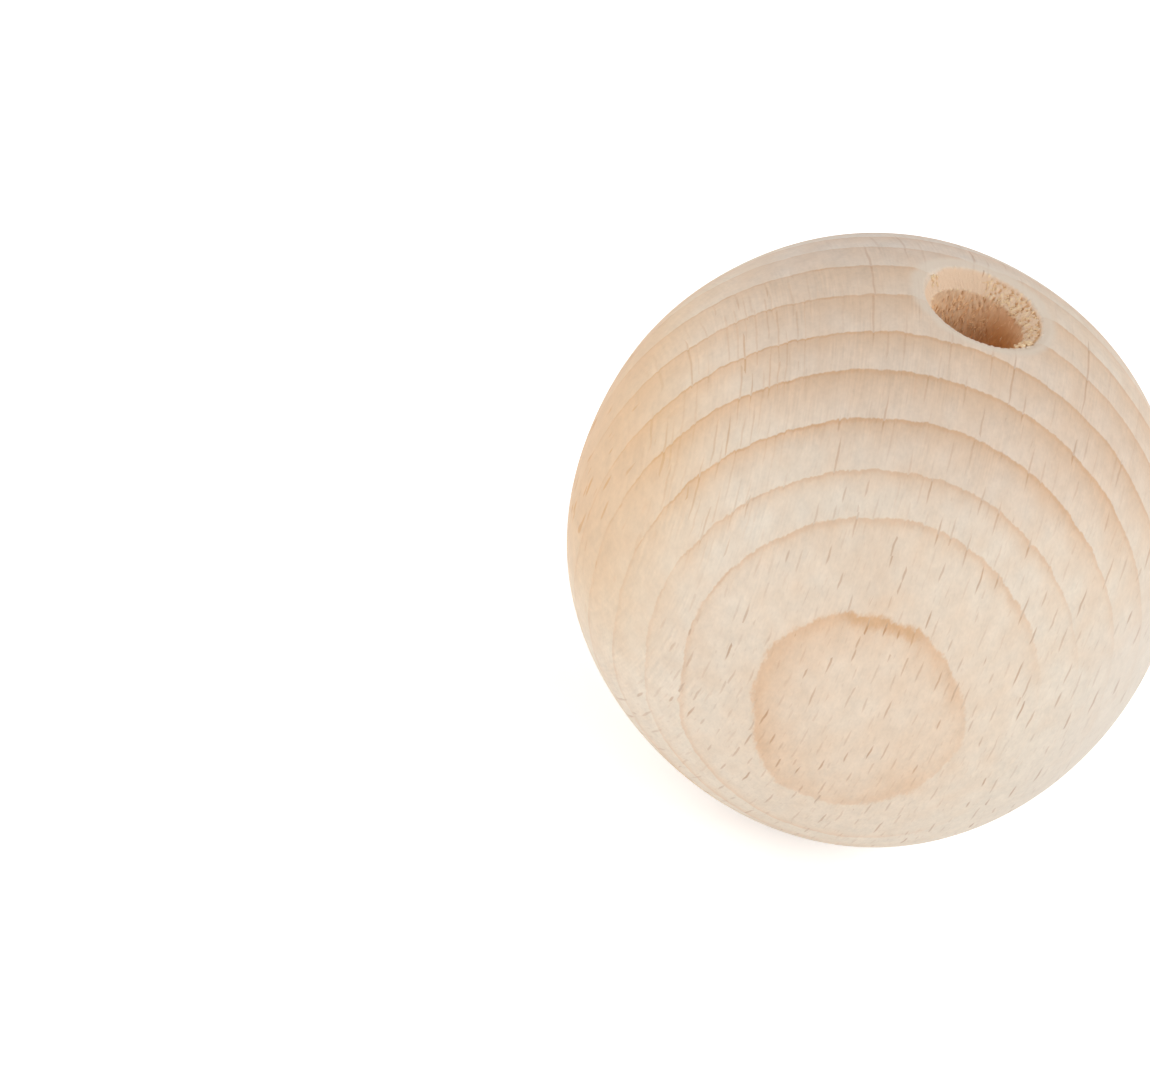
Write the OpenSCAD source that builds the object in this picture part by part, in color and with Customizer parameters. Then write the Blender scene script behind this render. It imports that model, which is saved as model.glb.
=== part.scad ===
// Drilled wooden ball: one piece of beech, turned to a ball and bored right through
// along the grain. Each mouth of the bore is countersunk and opens in a small flat,
// left where the ball was held and parted off, and tumbling has softened the edges.
// The ball stands on the lower flat. The origin is the middle of the ball, with the
// bore along Z.

/* [Ball] */
// Diameter of the ball
ball_d = 50; // [36:1:100]

/* [Bore] */
// Diameter of the bore
bore_d = 8; // [4:0.5:12]

/* [Mouth] */
// Width of the countersink, from the bore to the rim of the mouth
sink_w = 1.2; // [0.6:0.1:2]
// Depth of the countersink below the flat
sink_depth = 1.4; // [0.6:0.1:2.4]
// Radius of the worn edge between the countersink and the flat
edge_r = 0.3; // [0.1:0.05:0.5]
// Width of the flat ring round the mouth
flat_w = 1; // [0.5:0.1:2]
// Radius of the soft shoulder between the flat ring and the ball
shoulder_r = 2; // [1:0.5:4]

/* [Hidden] */
$fn = 180;
ball_r = ball_d / 2;
bore_r = bore_d / 2;
mouth_r = bore_r + sink_w;
// Outer radius of the flat ring
flat_r = mouth_r + flat_w;
// The shoulder's arc touches the ball's arc from inside, so its centre lies
// ball_r - shoulder_r from the ball's centre, right under the rim of the flat
shoulder_z = sqrt(pow(ball_r - shoulder_r, 2) - pow(flat_r, 2));
flat_z = shoulder_z + shoulder_r;
// Slope of the countersink below the flat
sink_angle = atan2(sink_depth, sink_w);
// From the rim of the mouth to where the worn edge runs out, on both its sides
edge_reach = edge_r * tan(sink_angle / 2);

// Half of the turned section: the ball's circle, cut off at the two flats
module turned_half() {
    intersection() {
        circle(r = ball_r);
        translate([0, -flat_z])
            square([2 * ball_r, 2 * flat_z]);
    }
}

// The corner between the flat and the ball that the shoulder's arc takes off: a wedge
// that opens from the arc's centre, straight up on one side and away from the ball's
// centre on the other
module shoulder_corner() {
    translate([flat_r, shoulder_z])
        difference() {
            polygon([[0, 0], [flat_r, shoulder_z], [0, shoulder_z]]);
            circle(r = shoulder_r);
        }
}

// Half of the cutter that sinks the mouth: its sloping side runs from the bore's wall
// up through the rim of the mouth and on, as far again above the flat
module countersink() {
    translate([0, flat_z])
        polygon([
            [0, -sink_depth],
            [bore_r, -sink_depth],
            [bore_r + 2 * sink_w, sink_depth],
            [0, sink_depth]
        ]);
}

// What wear takes off the rim of the mouth: the kite between the rim and the centre of
// the worn edge's arc, less the arc's own disc
module worn_rim() {
    translate([mouth_r, flat_z])
        difference() {
            polygon([
                [0, 0],
                [edge_reach, 0],
                [edge_reach, -edge_r],
                [-edge_reach * cos(sink_angle), -edge_reach * sin(sink_angle)]
            ]);
            translate([edge_reach, -edge_r])
                circle(r = edge_r);
        }
}

module half_section() {
    difference() {
        turned_half();
        translate([0, -ball_r])
            square([bore_r, ball_d]);
        for (end = [0, 1])
            mirror([0, end]) {
                shoulder_corner();
                countersink();
                worn_rim();
            }
    }
}

module ball() {
    color("wheat")
        rotate_extrude()
            half_section();
}

ball();
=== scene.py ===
"""A drilled wooden ball: one piece of pale beech, turned, bored along the grain and tumbled."""

import math

import bpy
import numpy as np
from mathutils import Matrix, Vector


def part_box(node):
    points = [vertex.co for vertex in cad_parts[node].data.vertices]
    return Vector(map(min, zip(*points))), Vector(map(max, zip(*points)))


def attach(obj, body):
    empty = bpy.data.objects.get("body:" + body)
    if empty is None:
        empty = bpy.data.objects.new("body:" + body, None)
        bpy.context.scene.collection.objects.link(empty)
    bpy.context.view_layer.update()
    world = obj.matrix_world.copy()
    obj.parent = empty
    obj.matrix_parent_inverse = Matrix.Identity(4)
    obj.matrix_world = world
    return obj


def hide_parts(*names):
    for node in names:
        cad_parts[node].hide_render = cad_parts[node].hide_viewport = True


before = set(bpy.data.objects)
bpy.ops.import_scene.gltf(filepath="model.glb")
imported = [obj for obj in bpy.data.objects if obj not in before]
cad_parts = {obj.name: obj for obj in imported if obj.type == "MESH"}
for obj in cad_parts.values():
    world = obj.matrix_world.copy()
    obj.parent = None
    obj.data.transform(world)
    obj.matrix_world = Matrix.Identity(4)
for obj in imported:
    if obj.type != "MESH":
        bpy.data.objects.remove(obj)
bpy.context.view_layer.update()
MM = 0.001


# --- Camera -----------------------------------------------------------------------------
# A long lens looks down at the upper mouth from the pith side of the ball. The ball lies to
# the right of the middle of the view, and leans to the right in it.

# in pixels: the size of the view, and the middle and the radius of the ball in it
VIEW_W, VIEW_H = 1150, 1065
BALL_AT = (873.85, 538.4)
BALL_RADIUS_PX = 305.7
# in metres: how far off the camera is, and what it can see
DISTANCE = 0.7
CLIP_START, CLIP_END = 0.05, 20
ELEVATION = math.radians(31.4)
LEAN = math.radians(25.3)
# in millimetres
SENSOR = 36.0

ball_low, ball_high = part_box("ball")
ball_r = (ball_high.x - ball_low.x) / 2
focal_px = BALL_RADIUS_PX * math.sqrt(DISTANCE**2 - ball_r**2) / ball_r
camera_data = bpy.data.cameras.new("camera")
camera_data.sensor_width = SENSOR
camera_data.lens = SENSOR * focal_px / VIEW_W
camera_data.clip_start = CLIP_START
camera_data.clip_end = CLIP_END
camera = bpy.data.objects.new("camera", camera_data)
bpy.context.scene.collection.objects.link(camera)
bpy.context.scene.camera = camera

back = Vector((0, -math.cos(ELEVATION), math.sin(ELEVATION)))
level = Vector((1, 0, 0))
lean = Matrix.Rotation(LEAN, 3, back)
right = lean @ level
up = lean @ back.cross(level)
facing = Matrix((right, up, back)).transposed()
to_ball = Vector((BALL_AT[0] - VIEW_W / 2, VIEW_H / 2 - BALL_AT[1], -focal_px))
aside = to_ball.rotation_difference(Vector((0, 0, -1))).to_matrix()
camera.matrix_world = Matrix.Translation(back * DISTANCE) @ (facing @ aside).to_4x4()


# --- Floor and light --------------------------------------------------------------------
# The ball stands on a wide table of white paper in a pale room. Four softboxes stand round
# it: two low ones on the left and in front, and two higher ones that shine into the mouth.

# in metres
FLOOR_HALF = 1.5
SOFTBOX_SIZE = (1.0, 0.7)
SOFTBOX_DISTANCE = 1.0
# the paper, how much it glows where it is looked at, and the light of the room
PAPER_WHITE = 0.9
PAPER_ROUGHNESS = 0.9
PAPER_LIFT = 0.5
WORLD_STRENGTH = 0.32


class Finish:
    """One socket of a material's nodes. Arithmetic on it adds Math nodes to the material."""

    def __init__(self, tree, socket=None):
        self.tree = tree
        self.socket = socket

    def node(self, kind, settings, sockets, output=0):
        """Any other node: its settings are set first, then each socket takes a value or a link.
        The stops of a ramp are pairs of a position and a colour. Several outputs come as a list."""
        made = self.tree.nodes.new(kind)
        for name, value in settings.items():
            if name == "stops":
                stops = made.color_ramp.elements
                while len(stops) < len(value):
                    stops.new(1)
                for stop, (position, colour) in zip(stops, value):
                    stop.position = position
                    stop.color = (*colour, 1)
            else:
                setattr(made, name, value)
        for name, value in sockets.items():
            if isinstance(value, Finish):
                self.tree.links.new(value.socket, made.inputs[name])
            else:
                made.inputs[name].default_value = value
        if isinstance(output, tuple):
            return [Finish(self.tree, made.outputs[name]) for name in output]
        return Finish(self.tree, made.outputs[output])

    def math(self, operation, *values):
        """A Math node on numbers or on values of this material."""
        return self.node("ShaderNodeMath", {"operation": operation}, dict(enumerate(values)))

    def __add__(self, other):
        return self.math("ADD", self, other)

    def __sub__(self, other):
        return self.math("SUBTRACT", self, other)

    def __rsub__(self, other):
        return self.math("SUBTRACT", other, self)

    def __mul__(self, other):
        return self.math("MULTIPLY", self, other)

    def __truediv__(self, other):
        return self.math("DIVIDE", self, other)

    def __rtruediv__(self, other):
        return self.math("DIVIDE", other, self)

    def __pow__(self, other):
        return self.math("POWER", self, other)

    __radd__ = __add__
    __rmul__ = __mul__

    def step(self, start, end):
        """0 before start and 1 past end, smooth between; start may be the higher of the two."""
        sockets = {"Value": self, "From Min": start, "From Max": end}
        return self.node("ShaderNodeMapRange", {"interpolation_type": "SMOOTHSTEP"}, sockets)

    def blend(self, first, second):
        """The first colour where this value is 0, and the second where it is 1."""
        settings = {"data_type": "RGBA"}
        return self.node("ShaderNodeMix", settings, {0: self, 6: first, 7: second}, 2)

    def feed(self, shader, name):
        """Link this value to the named socket of a shader."""
        self.tree.links.new(self.socket, shader.inputs[name])


def material(name):
    """A new material, its Principled shader and the empty start of its expressions."""
    made = bpy.data.materials.new(name)
    made.use_nodes = True
    return made, made.node_tree.nodes["Principled BSDF"], Finish(made.node_tree)


def softbox(name, azimuth, elevation, strength):
    """A wide lamp aimed at the ball. Azimuth 0 is the camera's side, and a strength of 1 lights
    what faces the lamp as a white world of strength 1 does: that gives pi, and a lamp gives its
    energy / (pi * distance squared)."""
    turn = math.radians(azimuth)
    tilt = math.radians(elevation)
    level_out = Vector((math.sin(turn), -math.cos(turn), 0))
    towards = level_out * math.cos(tilt) + Vector((0, 0, math.sin(tilt)))
    data = bpy.data.lights.new(name, "AREA")
    data.shape = "RECTANGLE"
    data.size, data.size_y = SOFTBOX_SIZE
    data.energy = strength * (math.pi * SOFTBOX_DISTANCE) ** 2
    lamp = bpy.data.objects.new(name, data)
    lamp.location = towards * SOFTBOX_DISTANCE
    lamp.rotation_euler = towards.to_track_quat("Z", "Y").to_euler()
    bpy.context.scene.collection.objects.link(lamp)


bpy.ops.mesh.primitive_plane_add(size=2 * FLOOR_HALF, location=(0, 0, ball_low.z))
floor = bpy.context.object
floor.name = "table"
paper, paper_shader, sheet = material("white_paper")
# the glow shows to the eye and in reflections only, so it lights nothing
looking = ("Is Camera Ray", "Is Glossy Ray", "Is Transmission Ray")
looks = sheet.node("ShaderNodeLightPath", {}, {}, looking)
seen = sheet.math("MAXIMUM", looks[0], sheet.math("MAXIMUM", looks[1], looks[2]))
paper_shader.inputs["Base Color"].default_value = (PAPER_WHITE, PAPER_WHITE, PAPER_WHITE, 1)
paper_shader.inputs["Roughness"].default_value = PAPER_ROUGHNESS
paper_shader.inputs["Emission Strength"].default_value = PAPER_LIFT
seen.feed(paper_shader, "Emission Color")
floor.data.materials.append(paper)

world = bpy.data.worlds.new("studio")
bpy.context.scene.world = world
world.use_nodes = True
world.node_tree.nodes["Background"].inputs["Color"].default_value = (1, 1, 1, 1)
world.node_tree.nodes["Background"].inputs["Strength"].default_value = WORLD_STRENGTH
softbox("left_softbox", -100, 11, 0.48)
softbox("front_softbox", -20, 11, 0.42)
softbox("right_softbox", 60, 38, 0.4)
softbox("back_softbox", 140, 38, 0.38)

bpy.context.scene.view_settings.view_transform = "Standard"


# --- The ball ---------------------------------------------------------------------------
# One solid beech ball, turned between centres and drilled right through along the grain.
# Its two mouths are countersunk, and tumbling has rubbed a pale, smooth ring round each.

# sizes in mm
BALL_R = ball_r / MM
MOUTH_Z = ball_high.z / MM
BORE_R = 4.0
SINK_W = 1.2
SINK_DEPTH = 1.4
EDGE_R = 0.3
FLAT_W = 1.0
SHOULDER_R = 2.0
# points round the axis
ANGLES = 384
SEED = 41

MOUTH_R = BORE_R + SINK_W
FLAT_R = MOUTH_R + FLAT_W
SINK_ANGLE = math.degrees(math.atan2(SINK_W, SINK_DEPTH))
EDGE_ANGLE = 180 - SINK_ANGLE
# the worn edge touches both the flat and the cone, whose lines meet at the mouth's radius
EDGE_REACH = EDGE_R * math.tan(math.radians(EDGE_ANGLE - 90) / 2)
EDGE_CENTRE = (MOUTH_R + EDGE_REACH, MOUTH_Z - EDGE_R)
SHOULDER_CENTRE = (FLAT_R, MOUTH_Z - SHOULDER_R)
SHOULDER_ANGLE = math.degrees(math.atan2(SHOULDER_CENTRE[1], SHOULDER_CENTRE[0]))
CONE_END_Z = MOUTH_Z - SINK_DEPTH
# how far down the bore its mesh is fine enough for torn grain
FINE_BORE = 6.6
# where the grain is torn out of the cone and out of the bore, where the rim is chipped, and
# where it is worn rounder: from and to which direction, in degrees round the axis
TORN_CONE = (-45, 95)
FUZZY_BORE = (70, 150)
CHIPPED_RIM = (33, 92)
WORN_RIM = (-130, 30)
# how far the drill dragged the grain round, in radians per mm of depth
TWIST = 0.07


def arc(centre, radius, start, end, count):
    """Points round a centre in the plane of distance from the bore's axis and height:
    centre + radius * (cos, sin) of even angles in degrees, the last one left out."""
    turn = np.radians(np.linspace(start, end, count, endpoint=False))
    return np.array(centre) + radius * np.stack([np.cos(turn), np.sin(turn)], axis=1)


def line(start, end, count):
    """Points in even steps from start to end, the last one left out."""
    return np.linspace(start, end, count, endpoint=False)


def turned_profile():
    """The closed outline that is turned: from the equator over the upper mouth and down the
    bore, then the same points mirrored, back up the outside to the equator. Each stretch ends
    with its count of points. With the outline comes how far each point lies past the rim of its
    mouth: the length of the outline between the two, less than 0 outside."""
    # where the worn edge runs into the cone
    cone_top = arc(EDGE_CENTRE, EDGE_R, EDGE_ANGLE, EDGE_ANGLE + 1, 1)[0]
    outside = np.concatenate([
        arc((0, 0), BALL_R, 0, SHOULDER_ANGLE, 46),
        arc(SHOULDER_CENTRE, SHOULDER_R, SHOULDER_ANGLE, 90, 6),
        line((FLAT_R, MOUTH_Z), (EDGE_CENTRE[0], MOUTH_Z), 9),
    ])
    upper = np.concatenate([
        outside,
        arc(EDGE_CENTRE, EDGE_R, 90, EDGE_ANGLE, 4),
        line(cone_top, (BORE_R, CONE_END_Z), 20),
        line((BORE_R, CONE_END_Z), (BORE_R, CONE_END_Z - FINE_BORE), 32),
        line((BORE_R, CONE_END_Z - FINE_BORE), (BORE_R, 0), 6),
        [(BORE_R, 0)],
    ])
    run = np.cumsum(np.linalg.norm(np.diff(upper, axis=0, prepend=upper[:1]), axis=1))
    past_rim = run - run[len(outside)]
    profile = np.concatenate([upper, (upper * (1, -1))[-2:0:-1]])
    return profile, np.concatenate([past_rim, past_rim[-2:0:-1]])


def ripples(rng, along, turn, counts, wavelength, waves=40):
    """Sum of cosines of counts * turn + k * along + phase, whose whole counts close round the
    bore, with k spread over a normal distribution for the wavelength; its spread is about 1."""
    field = np.zeros(np.broadcast(along, turn).shape)
    for _ in range(waves):
        around = rng.integers(*counts)
        k = rng.normal(0, 2 * math.pi / wavelength)
        field += np.cos(around * turn + k * along + rng.uniform(0, 2 * math.pi))
    return field / math.sqrt(waves / 2)


def ramp(value, start, end):
    """0 before start and 1 past end, with a smooth cubic step between."""
    step = np.clip((value - start) / (end - start), 0, 1)
    return step * step * (3 - 2 * step)


def sector(turn, start, end, soft):
    """1 for directions between start and end, which soften over `soft`, all in degrees."""
    middle = math.radians((start + end) / 2)
    half = (end - start) / 2
    off = np.degrees(np.abs(np.angle(np.exp(1j * (turn - middle)))))
    return 1 - ramp(off, half - soft / 2, half + soft / 2)


def closed_mesh(name, points, faces):
    """A smooth closed mesh at the origin, from corners in millimetres and an array of faces."""
    mesh = bpy.data.meshes.new(name)
    mesh.from_pydata((points * MM).tolist(), [], faces.tolist())
    mesh.shade_smooth()
    made = bpy.data.objects.new(name, mesh)
    bpy.context.scene.collection.objects.link(made)
    return made


def wrapped_faces(rows, columns):
    """Quads of a grid whose last row joins its first, and whose last column joins its first."""
    row, column = np.mgrid[0:rows, 0:columns]
    next_row = (row + 1) % rows
    next_column = (column + 1) % columns
    start, following = row * columns, next_row * columns
    corners = [start + column, start + next_column, following + next_column, following + column]
    return np.stack(corners, axis=-1).reshape(-1, 4)


# out of round: a direction, the change of radius there in mm, and its spread
DENTS = (
    ((0.97, -0.13, -0.22), -0.28, 0.13),
    ((-0.30, -0.50, -0.81), -0.20, 0.10),
    ((0.43, -0.47, -0.77), 0.30, 0.13),
    ((-0.84, -0.29, -0.47), 0.17, 0.05),
    ((-1.0, 0.0, 0.0), -0.15, 0.04),
    ((0.13, 0.52, 0.85), -0.10, 0.04),
    ((-0.80, 0.31, 0.51), -0.09, 0.04),
)


def between(deep, start, full, fading, end):
    """0 before start and past end, 1 from full to fading, with smooth steps between."""
    return ramp(deep, start, full) * (1 - ramp(deep, fading, end))


def drill_marks(deep, turn):
    """How far the wood inside a mouth stands out along its normal, in mm, for how deep past the
    rim and in which direction a point lies. Bands of depth times sectors of direction times
    ripples: torn grain and pits in the cone, fibres and tears in the bore, chips and wear at the
    rim, and a burr where the cone meets the bore."""
    rng = np.random.default_rng(SEED)
    torn = sector(turn, *TORN_CONE, 30)
    fuzzy = sector(turn, *FUZZY_BORE, 30)
    chipped = sector(turn, *CHIPPED_RIM, 20)
    worn = sector(turn, *WORN_RIM, 90)
    in_cone = between(deep, 0.1, 0.5, 1.9, 2.6)
    in_bore = between(deep, 1.7, 2.2, 5.5, 8.5)
    under_rim = between(deep, 0.25, 0.4, 0.5, 0.7)
    round_rim = between(deep, -0.5, 0.05, 0.35, 1.0)
    nicked_rim = between(deep, -0.01, 0.05, 0.3, 0.7) * (deep > 0)
    burr = between(deep, 1.75, 1.95, 1.98, 2.15)
    coarse = ripples(rng, deep, turn, (10, 60), 1.2)
    crumbs = ripples(rng, deep, turn, (20, 80), 0.7, 60)
    drilled = turn + deep * TWIST
    fibres = ripples(rng, deep, drilled, (60, 150), 5.0, 60)
    tears = ripples(rng, deep, drilled, (20, 80), 1.5, 60)
    nicks = ripples(rng, deep * 0.3, turn, (8, 90), 3.0)
    move = in_cone * torn * (0.03 * coarse + 0.045 * crumbs - 0.01)
    move += in_cone * (1 - 0.6 * torn) * 0.012 * fibres
    move += in_bore * (0.01 * fibres + 0.02 * coarse + fuzzy * 0.05 * tears)
    move -= under_rim * chipped * 0.055 * (1 + coarse)
    move -= round_rim * worn * 0.17
    move += burr * (1 - torn) * 0.03 * (1 + coarse)
    move += nicked_rim * (0.02 + 0.03 * torn) * nicks
    return move


def ball_surface():
    """Each point of the turned outline, carried round the axis, is moved along its normal by
    the marks of the drill inside the two mouths, and away from the middle by the dents outside:
    their change of radius times exp((cos of the angle from the dent - 1) / spread)."""
    profile, past_rim = turned_profile()
    tangent = np.roll(profile, -1, axis=0) - np.roll(profile, 1, axis=0)
    tangent /= np.linalg.norm(tangent, axis=1)[:, None]
    turn = np.linspace(0, 2 * math.pi, ANGLES, endpoint=False)[None, :]
    radius, height, deep = profile[:, :1], profile[:, 1:], past_rim[:, None]
    # the lower mouth is the upper one after half a turn about Y
    own_turn = np.where(height < 0, math.pi - turn, turn)
    move = drill_marks(deep, own_turn)
    normal_r, normal_z = tangent[:, 1:], -tangent[:, :1]
    r = radius + move * normal_r
    z = height + move * normal_z
    points = np.stack([r * np.cos(turn), r * np.sin(turn), z + 0 * turn], axis=-1)
    outward = points / np.linalg.norm(points, axis=-1, keepdims=True)
    outside = ramp(radius, FLAT_R + 0.3, FLAT_R + 6)
    for direction, change, spread in DENTS:
        aim = np.array(direction) / np.linalg.norm(direction)
        near = np.exp((outward @ aim - 1) / spread)
        points += outward * (change * near * outside)[..., None]
    faces = wrapped_faces(*points.shape[:2])
    return points.reshape(-1, 3), faces


def tint(red, green, blue):
    """A colour in screen values from 0 to 255, as the shader's linear one."""
    values = np.array([red, green, blue]) / 255
    linear = np.where(values <= 0.04045, values / 12.92, ((values + 0.055) / 1.055) ** 2.4)
    return (*linear.tolist(), 1)


# early wood, late wood, and both where the surface cuts across the grain near the top, greyer there
# with a painted sheen; last the greyest tone, a painted sheen at the far top
PALE = tint(238, 224, 206)
LATE = tint(230, 191, 154)
END_PALE = tint(231, 212, 193)
END_LATE = tint(219, 186, 155)
SHEEN_PALE = tint(231, 217, 204)
# the line that ends a growth ring, the rays, and the amber of painted warm reflected light on the
# left
LINE = tint(206, 158, 116)
RAY_BROWN = tint(176, 126, 88)
RAY_ORANGE = tint(206, 148, 78)
RAY_OLIVE = tint(194, 144, 92)
BOUNCE_AMBER = tint(234, 186, 106)
# painted cool light, paler, at the far right
LIT_RIGHT_PALE = tint(238, 229, 219)
# the burnished ring, the raw wood of the cone and of the two sides of the bore, the paler side with
# painted light, then painted shade on what lies lower and painted light on paler torn fibre that
# stands higher than the cone's own surface
BURNISHED = tint(231, 216, 198)
RAW = tint(236, 208, 180)
RAW_LIT = tint(255, 224, 186)
RAW_DEEP = tint(230, 174, 120)
PIT_SHADE = tint(218, 176, 134)
TUFT_LIT = tint(247, 222, 184)
# how rough the wood is and how much it mirrors, how much wax is on it and how rough that is,
# and the height of its relief in mm
ROUGHNESS = 0.66
MIRRORING = 0.12
WAX = 0.4
WAX_ROUGHNESS = 0.6
RELIEF = 0.04
# the pith: its direction and its distance, how it leans from the bore's axis per mm of
# height, and how the rays lean off the way to it
PITH_TURN = math.radians(78.9)
PITH_DISTANCE = 167.0
PITH_LEAN_OUT = 0.018
PITH_LEAN_ROUND = 0.079
RAY_LEAN = 0.06
# each growth ring: where it ends, in mm outwards from the middle of the ball, how dark its
# late wood is, and how late in the ring that starts
RINGS = (
    (-27.0, 0.5, 0.3), (-23.22, 1.0, 0.75), (-19.68, 0.65, 0.55), (-17.13, 0.7, 0.3),
    (-13.69, 1.1, 0.12), (-9.88, 1.15, 0.1), (-6.24, 1.05, 0.1), (-1.77, 0.8, 0.02),
    (2.64, 0.75, 0.04), (6.53, 0.45, 0.0), (9.9, 0.6, 0.1), (13.2, 0.9, 0.12),
    (17.1, 0.8, 0.1), (20.6, 0.7, 0.3), (23.3, 0.6, 0.4), (27.0, 0.5, 0.3),
)

ball = closed_mesh("turned_ball", *ball_surface())
beech, ball_shader, wood = material("beech")

# millimetres, turned so that the first axis points to the pith
place = wood.node("ShaderNodeTexCoord", {}, {}, "Object")
place_sockets = {"Vector": place, "Rotation": (0, 0, PITH_TURN), "Scale": (1 / MM,) * 3}
turned = wood.node("ShaderNodeMapping", {}, place_sockets)


def parts(vector):
    """The three components of a vector."""
    return wood.node("ShaderNodeSeparateXYZ", {}, {0: vector}, ("X", "Y", "Z"))


def vector_math(operation, first, second):
    """A Vector Math node on two vectors."""
    sockets = {0: first, 1: second}
    return wood.node("ShaderNodeVectorMath", {"operation": operation}, sockets)


def cloud(vector, sizes, detail=0.0):
    """Soft noise between about -1 and 1, whose blobs have the given sizes along each axis."""
    scaled = vector_math("DIVIDE", vector, sizes)
    sockets = {"Vector": scaled, "Scale": 1, "Detail": detail}
    return wood.node("ShaderNodeTexNoise", {}, sockets) * 4 - 2


def close_to(across_at, along_at, end, full):
    """1 close to a place, as seen from the pith, and 0 away from it. End and full are squared
    distances in mm, past which it is 0 and below which it is 1."""
    return ((across - across_at) ** 2 + (along - along_at) ** 2).step(end, full)


def off_axis(degrees):
    """Distance from the axis in a direction, which is counted round from the pith's."""
    turn = math.radians(degrees)
    return out * math.cos(turn) + across * math.sin(turn)


# distance out towards the pith, distance across it, and height along the bore
out, across, along = parts(turned)
to_pith = PITH_DISTANCE - out
ring_out = to_pith + along * PITH_LEAN_OUT
ring_round = across + along * PITH_LEAN_ROUND
ring_place = wood.math("SQRT", ring_out**2 + ring_round**2) - PITH_DISTANCE
way_round = across / to_pith * PITH_DISTANCE - out * RAY_LEAN
# the wood's own axes: across the growth rings, round them, and along the grain
grain = wood.node("ShaderNodeCombineXYZ", {}, {0: ring_place, 1: way_round, 2: along})

# mottling: three noises at once, as strong at a quarter of a millimetre as at two
mottle_place = vector_math("DIVIDE", grain, (2.2, 1.7, 2.2))
mottle_sockets = {"Vector": mottle_place, "Scale": 1, "Detail": 3, "Roughness": 1.0}
shade_mottle, _, edge_mottle = parts(wood.node("ShaderNodeTexNoise", {}, mottle_sockets, "Color"))
# how far a ray bends aside on its way, in mm
wiggle = cloud(grain, (2.5, 2.5, 1.3), 1.0) * 0.07


def rays(cell, half_width, half_height, shift):
    """How much of a ray there is: thin sheets that run out from the pith, seen as short dashes
    where the surface cuts across them and as flecks where it follows them. Each cell of a
    Voronoi pattern holds one: a lens round the cell's point, with these half sizes in mm, of
    which the shortest has 0.35 of the height, and the faintest 0.2 of the strength."""
    moved = vector_math("DIVIDE", vector_math("ADD", grain, shift), cell)
    settings = {"voronoi_dimensions": "3D", "feature": "F1"}
    sockets = {"Vector": moved, "Scale": 1, "Randomness": 0.95}
    middle, chance = wood.node("ShaderNodeTexVoronoi", settings, sockets, ("Position", "Color"))
    length, strength, _ = parts(chance)
    _, wide, tall = parts(vector_math("SUBTRACT", moved, middle))
    tall = tall * (cell[2] / half_height) / (length * 0.65 + 0.35)
    lens = ((wide * cell[1] + wiggle) / half_width) ** 2 + tall**2
    return lens.step(1.6, 0.2) * (strength**2 * 0.8 + 0.2)


# rays of three sizes: tall ones on the left and towards the top, and short and fine ones
# elsewhere; where the surface runs along them, at the far left, there are none
left_side = across.step(-7, -15)
upper_left = left_side * along.step(-1, 6)
left_flank = across.step(-11, -16) * along.step(2, 8)
left_top = along.step(12, 18) * across.step(4, -6)
tall_place = (left_flank + left_top * 0.13) * across.step(-24, -22)
tall_ray = rays(cell=(5, 0.62, 5.2), half_width=0.065, half_height=2.2, shift=(1.7, 2.9, 4.1))
tall_ray = tall_ray**0.75 * tall_place * ring_place.step(4, -1)
edge_on = (1 - upper_left) * across.step(-18, -14)
ray = rays(cell=(24, 1.7, 3.1), half_width=0.095, half_height=1.15, shift=(3.1, 0.4, 7.7))
ray = ray * edge_on
fine_ray = rays(cell=(11, 0.7, 1.4), half_width=0.065, half_height=0.45, shift=(8.3, 5.2, 1.9))
fine_ray = fine_ray * edge_on
ray_amount = (ray * 0.6 + fine_ray * 0.14) * (1 - along.step(5, 17) * 0.25)

# growth rings, each ending in a darker line of late wood, kinked where it crosses a ray; the
# one nearest the pith shows as an oval, which has a dent in its top
foot_bend = along.step(-4, -13) * -0.85
bark_shift = across.step(0, 16) * ring_place.step(-5, 0)
notch = close_to(-1.5, 7.7, 7, 0)
oval_bend = along.step(3, 8) * 0.27 + notch * 0.13 - across.step(5, 8.5) * along.step(5, -1) * 0.4
waver = cloud(grain, (30, 14, 45)) * 0.2 + cloud(grain, (12, 3.2, 10), 2.0) * 0.13
waver = waver + edge_mottle * 0.5 - 0.25
kink = (ray + tall_ray) * 0.25 + cloud(grain, (6, 0.9, 3), 1.0) * left_side * 0.09
ring_at = ring_place + foot_bend + bark_shift + ring_place.step(-21.4, -22.6) * oval_bend
ring_at = ring_at + waver + kink
# a ramp holds the table: its red is the ring's number, its green how dark the ring is, and
# its blue how late
first, last = RINGS[0][0], RINGS[-1][0]
stops = [((edge - first) / (last - first), (number / (len(RINGS) - 1), dark / 2, late))
         for number, (edge, dark, late) in enumerate(RINGS)]
rings = wood.node("ShaderNodeValToRGB", {"stops": stops}, {0: (ring_at - first) / (last - first)})
channels = ("Red", "Green", "Blue")
ring_number, darkness, lateness = wood.node("ShaderNodeSeparateColor", {}, {0: rings}, channels)
# how far a place lies through its own ring, from 0 to 1
phase = wood.math("FRACT", ring_number * (len(RINGS) - 1))
sharp_end = phase.step(1.0, 0.96)
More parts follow.
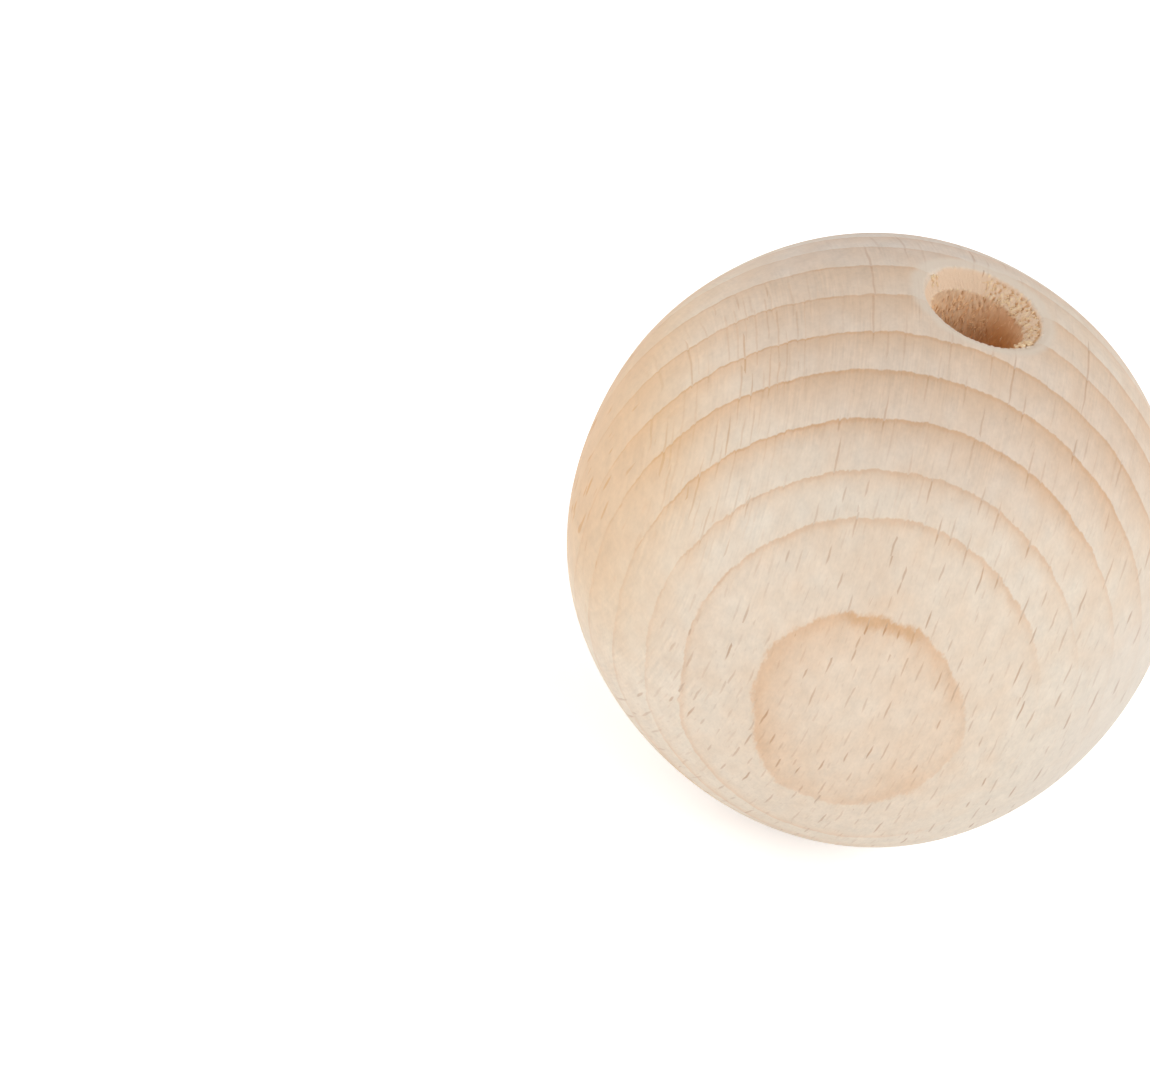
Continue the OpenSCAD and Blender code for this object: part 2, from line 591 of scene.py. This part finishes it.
# the rings are fainter at the foot, on the right, and low on the left
lower_right = across.step(2, 13) * along.step(14, 4)
far_right = across.step(8, 15) * along.step(20, 12)
left_fade = across.step(-9, -15) * along.step(9, 1) * ring_place.step(-18.5, -16)
low_fade = 1 - along.step(-7, -13) * ring_place.step(-19, -22) * 0.6
fade = (along.step(-4, 12) * 0.3 + 0.7) * (1 - lower_right * 0.75)
fade = fade * low_fade * (1 - far_right * 0.65)
late_wood = phase ** (lateness * 7 + 1) * sharp_end * darkness * 2 * fade
late_wood = late_wood * (1 - left_side * 0.1) * (1 - left_fade * 0.75)
broken = cloud(grain, (6, 1.0, 1.6)) * (left_side * 0.6 + 0.3) + left_side * 0.7 + 1
thinner = left_side * along.step(-4, 2)
end_line = phase.step(thinner * 0.07 + 0.84, thinner * 0.02 + 0.95) * sharp_end * darkness
end_line = end_line * fade * broken * (1 - left_fade * 0.4)
end_line = end_line * (1 - left_side * along.step(1, -6) * 0.4)
end_line = end_line * (1 - along.step(-9, -16) * 0.4)
# a warm band inside the oval's edge, on the left and at the foot, and a dark patch at its top
in_oval = ring_at.step(-23.12, -23.34)
band_place = across.step(1, -5) * 0.2 + along.step(2, -5) * 0.08
oval_band = low_fade * in_oval * ring_at.step(-24.9, -23.5) * band_place * (broken * 0.3 + 0.7)
oval_top = in_oval * ring_at.step(-23.75, -23.4) * close_to(-1, 7.5, 14, 4)
# near the top the surface cuts across the grain, which looks darker there; it is also greyer there
# with a painted sheen, most of all at the far top
top_grain = along.step(13, 21) * (1 - across.step(-4, 10) * ring_place.step(-6, 5) * 0.8)
sheen_top = top_grain * ring_place.step(1, 6)
end_grain_sheen = sheen_top.blend(END_PALE, SHEEN_PALE)
colour = late_wood.blend(top_grain.blend(PALE, end_grain_sheen), top_grain.blend(LATE, END_LATE))
colour = (end_line * (left_side * 0.06 + 0.5)).blend(colour, LINE)
colour = (ring_at.step(-19.5, -24) * 0.17 + oval_band).blend(colour, LATE)
colour = (oval_top * 0.35).blend(colour, RAY_ORANGE)
colour = ray_amount.blend(colour, RAY_BROWN)
colour = (tall_ray * 0.45).blend(colour, RAY_OLIVE)

# painted warm reflected light on the left, stronger and more orange at the far left, where there
# are orange flecks too
amber_bounce = across.step(-13, -22) * along.step(-16, -4) * along.step(17, 9)
limb = across.step(-17, -26) * along.step(-18, -2) * along.step(16, 4)
fleck = cloud(grain, (0.8, 4, 2.6), 1.0).step(0.55, 0.95) * limb
colour = (amber_bounce * 0.22).blend(colour, BOUNCE_AMBER)
colour = (fleck * 0.5 + limb * 0.36).blend(colour, RAY_ORANGE)

# light and dark: fibre, the streaks of the narrowest rays, mottling and a small stain, and then
# painted light and shade: lighter low on the left and at the foot, darker higher on the left
fibre = cloud(grain, (0.35, 0.25, 1.2), 1.0)
streaky = cloud(grain, (5, 3, 4)).step(-0.5, 0.6) * 1.4 + 0.3
streak = cloud(grain, (2.4, 0.16, 2.4)) * streaky
streak_depth = top_grain * 0.014 - across.step(2, 12) * 0.004 + left_side * 0.011 + 0.008
stain = close_to(-3, 10.8, 14, 2)
shade = fibre * 0.008 + streak * streak_depth + shade_mottle * 0.34 + 0.825 - stain * 0.02
# painted light low on the left, and painted shade higher on the left
painted_left_light = along.step(-2, -12) * 0.045 - along.step(3, 12) * 0.02
shade = shade + across.step(0, -8) * painted_left_light + along.step(-6, -14) * 0.01
colour = wood.node("ShaderNodeVectorMath", {"operation": "SCALE"}, {0: colour, "Scale": shade})

# patches of warmer wood at random, and painted light: warm reflected light on the left, cooler low
# on the right and a little warmer high on the right, and paler at the foot, where light comes from
# below
warmth = cloud(grain, (3.2, 2.4, 2.6), 1.0) * 0.13 + 0.1
warmth = warmth + across.step(-12, -22) * along.step(-14, 0) * 0.15
warmth = warmth - across.step(8, 18) * (along.step(10, 3) * 0.16 - 0.05)
warmth = warmth - along.step(-4, -12) * 0.08
colour = (warmth + stain * 0.1).blend(colour, LATE)
# painted cool light at the far right, which makes it paler
lit_right = across.step(13, 22) * along.step(14, 6)
colour = (lit_right * 0.35).blend(colour, LIT_RIGHT_PALE)

# mouths: a burnished ring round each, which runs into the cone on one side, and raw wood inside,
# with painted light on one side of the bore, painted shade in sunk pits and painted light on raised
# tufts
from_axis = wood.math("SQRT", out**2 + across**2)
height = wood.math("ABSOLUTE", along)
ragged = cloud(turned, (1.6, 1.6, 3.0), 1.0) * 0.15
burnish = (from_axis + ragged).step(MOUTH_R + 1.5, MOUTH_R + 0.7)
burnish = burnish * height.step(MOUTH_Z - 4.15, MOUTH_Z - 1.15)
colour = (burnish * 0.7).blend(colour, BURNISHED)
polished = off_axis(-103).step(4.1, 5.0)
raw = (from_axis + ragged * 0.3 + polished * 0.3).step(MOUTH_R + 0.1, MOUTH_R - 0.22)
raw = raw * height.step(0, 1)
deep = height.step(CONE_END_Z + 0.1, CONE_END_Z - 0.25) * 0.52
deep = deep + height.step(CONE_END_Z + 0.05, CONE_END_Z - 2.75) * 0.48
lit_bore = off_axis(-131).step(-0.5, 3.7).blend(RAW_DEEP, RAW_LIT)
wall = wood.math("MAXIMUM", (height - MOUTH_Z) * (SINK_W / SINK_DEPTH) + MOUTH_R, BORE_R)
lifted = wall - from_axis
# what stands higher than the wall gets painted light, and what sinks below it near the rim painted
# shade
inside = lifted.step(0.03, 0.12).blend(deep.blend(RAW, lit_bore), deep.blend(TUFT_LIT, RAW))
inside = (lifted.step(-0.04, -0.12) * from_axis.step(MOUTH_R, MOUTH_R - 0.15)).blend(inside, PIT_SHADE)
colour = raw.blend(colour, inside)
# a short crack in the ring, on the side away from the pith
crack = (out * 0.033 - across) ** 2 + ((from_axis - MOUTH_R) * 0.2) ** 2 + out.step(-1, 1)
crack = crack.step(0.006, 0.001) * height.step(MOUTH_Z - 1.15, MOUTH_Z - 0.65)
colour = (crack * 0.5).blend(colour, RAY_BROWN)
colour.feed(ball_shader, "Base Color")

roughness = ROUGHNESS - burnish * 0.14 + raw * 0.14 + fibre * 0.03
roughness.feed(ball_shader, "Roughness")
waxed = (1 - raw) * (burnish * 0.1 + WAX)
waxed.feed(ball_shader, "Coat Weight")
relief = fibre * 0.25 - ray_amount * 0.5 + raw * cloud(turned, (0.16, 0.16, 0.5), 2.0) * 0.8
relief_sockets = {"Strength": 0.5, "Distance": RELIEF * MM, "Height": relief}
wood.node("ShaderNodeBump", {}, relief_sockets).feed(ball_shader, "Normal")
ball_shader.inputs["Specular IOR Level"].default_value = MIRRORING
ball_shader.inputs["Coat Roughness"].default_value = WAX_ROUGHNESS
ball.data.materials.append(beech)
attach(ball, "root")
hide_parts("ball")


# --- Torn fibres ------------------------------------------------------------------------
# The drill left splinters in both mouths: long thin ones that hang on the wall of the bore,
# and short thick ones that stand in the torn part of the countersink and at its rim.

# how many rings of corners a splinter has along its length
SPLINTER_RINGS = 6
# the mean lean round the bore in degrees, the spread of the curl, how far under the wood a
# splinter starts in mm, and how much of its width it loses towards its end
SPLINTER_LEAN = 10
SPLINTER_CURL = 0.25
SPLINTER_ROOT = 0.04
SPLINTER_TAPER = 0.75
# two tones of the splinters near the rim, and the tone of those down the bore: pale torn fibre,
# made paler still with painted light where they catch it
LIT_FUZZ = tint(246, 220, 182)
LIT_FUZZ_DARK = tint(238, 206, 168)
LIT_FUZZ_DEEP = tint(252, 216, 174)
FUZZ_ROUGHNESS = 0.85
FUZZ_MIRRORING = 0.15


def splinters(rng, count, turns, depths, lengths, widths, lifts, slant):
    """Tapered strands with square sections, closed at both ends. Each starts just under the
    wood, somewhere in the ranges of direction in degrees and of depth in mm, and runs down the
    wall for its length, turned aside by its slant (a spread in degrees) and lifted off at its
    end. Shape of the corners: strand, ring, corner, axis."""
    along = np.linspace(0, 1, SPLINTER_RINGS)[None, :]
    spans = (turns, depths, lengths, widths, lifts)
    turn, depth, length, width, lift = (
        rng.uniform(low, high, count)[:, None] for low, high in spans)
    aside = np.radians(rng.normal(SPLINTER_LEAN, slant, count))[:, None]
    curl = rng.normal(0, SPLINTER_CURL, count)[:, None]
    at_depth = depth + length * np.cos(aside) * along
    at_turn = np.radians(turn) + length * (np.sin(aside) * along + curl * along**2) / BORE_R
    wall = np.maximum(BORE_R, BORE_R + SINK_W * (1 - at_depth / SINK_DEPTH))
    reach = wall + SPLINTER_ROOT - lift * along**1.5
    middle = [reach * np.cos(at_turn), reach * np.sin(at_turn), MOUTH_Z - at_depth]
    centre = np.stack(middle, axis=-1)
    ahead = np.gradient(centre, axis=1)
    ahead /= np.linalg.norm(ahead, axis=-1, keepdims=True)
    inwards = np.stack([-np.cos(at_turn), -np.sin(at_turn), 0 * at_turn], axis=-1)
    side = np.cross(ahead, inwards)
    side /= np.linalg.norm(side, axis=-1, keepdims=True)
    over = np.cross(side, ahead)
    half = (width / 2 * (1 - SPLINTER_TAPER * along**2))[..., None, None]
    corner = np.radians(np.arange(4) * 90.0)[None, None, :, None]
    aside_by = np.cos(corner) * side[:, :, None]
    over_by = np.sin(corner) * over[:, :, None]
    return centre[:, :, None] + half * (aside_by + over_by)


def strand_faces(count):
    """Quads round and at both ends of each strand, for corners numbered strand, ring, corner."""
    ring, corner = np.mgrid[0:SPLINTER_RINGS - 1, 0:4]
    start, following = ring * 4, ring * 4 + 4
    next_corner = (corner + 1) % 4
    corners = [start + corner, following + corner, following + next_corner, start + next_corner]
    around = np.stack(corners, axis=-1)
    last = (SPLINTER_RINGS - 1) * 4
    ends = np.array([[0, 1, 2, 3], [last + 3, last + 2, last + 1, last]])
    one = np.concatenate([around.reshape(-1, 4), ends])
    return (np.arange(count)[:, None, None] * SPLINTER_RINGS * 4 + one).reshape(-1, 4)


def torn_mouth(rng):
    """The splinters of one mouth, as the upper one has them. Each line has how many there are,
    then the ranges of their direction, depth, length, width and lift, and last their slant."""
    return np.concatenate([
        # down the fuzzy side of the bore, and thin ones all round it
        splinters(rng, 80, (75, 128), (1.7, 4.8), (0.25, 0.55), (0.12, 0.19), (0.04, 0.22), 18),
        splinters(rng, 30, (125, 165), (2.6, 5.2), (0.25, 0.65), (0.14, 0.2), (0.08, 0.32), 14),
        splinters(rng, 30, (0, 360), (1.8, 6.0), (0.3, 0.8), (0.08, 0.12), (0.05, 0.15), 16),
        # in the torn side of the cone, and in the bore below it
        splinters(rng, 30, (72, 100), (0.3, 1.5), (0.25, 0.5), (0.1, 0.16), (0.0, 0.1), 20),
        splinters(rng, 90, (36, 78), (0.2, 1.6), (0.15, 0.35), (0.12, 0.2), (-0.02, 0.09), 60),
        splinters(rng, 30, (0, 40), (0.3, 1.3), (0.15, 0.35), (0.12, 0.2), (-0.02, 0.08), 60),
        splinters(rng, 20, (20, 75), (1.9, 4.5), (0.25, 0.5), (0.1, 0.14), (0.0, 0.08), 14),
        # tufts across from there, and a clump at the rim
        splinters(rng, 8, (156, 168), (0.2, 0.8), (0.15, 0.3), (0.3, 0.42), (0.02, 0.08), 50),
        splinters(rng, 16, (-38, -20), (0.05, 0.5), (0.2, 0.3), (0.26, 0.42), (0.2, 0.65), 45),
    ])


rng = np.random.default_rng(SEED)
strands = np.concatenate([torn_mouth(rng), torn_mouth(rng) * (-1, 1, -1)])
fuzz = closed_mesh("torn_fibres", strands.reshape(-1, 3), strand_faces(len(strands)))
fuzz_finish, fuzz_shader, strand = material("torn_wood")
spot = strand.node("ShaderNodeTexCoord", {}, {}, "Object")
spot = strand.node("ShaderNodeMapping", {}, {"Vector": spot, "Scale": (1 / MM,) * 3})
speckle = strand.node("ShaderNodeTexNoise", {}, {"Vector": spot, "Scale": 2.2, "Detail": 1.0})
_, _, strand_z = strand.node("ShaderNodeSeparateXYZ", {}, {0: spot}, ("X", "Y", "Z"))
in_bore = strand.math("ABSOLUTE", strand_z).step(CONE_END_Z + 0.05, CONE_END_Z - 0.55)
dry = speckle.step(0.35, 0.65).blend(LIT_FUZZ_DARK, LIT_FUZZ)
in_bore.blend(dry, LIT_FUZZ_DEEP).feed(fuzz_shader, "Base Color")
fuzz_shader.inputs["Roughness"].default_value = FUZZ_ROUGHNESS
fuzz_shader.inputs["Specular IOR Level"].default_value = FUZZ_MIRRORING
fuzz.data.materials.append(fuzz_finish)
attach(fuzz, "root")
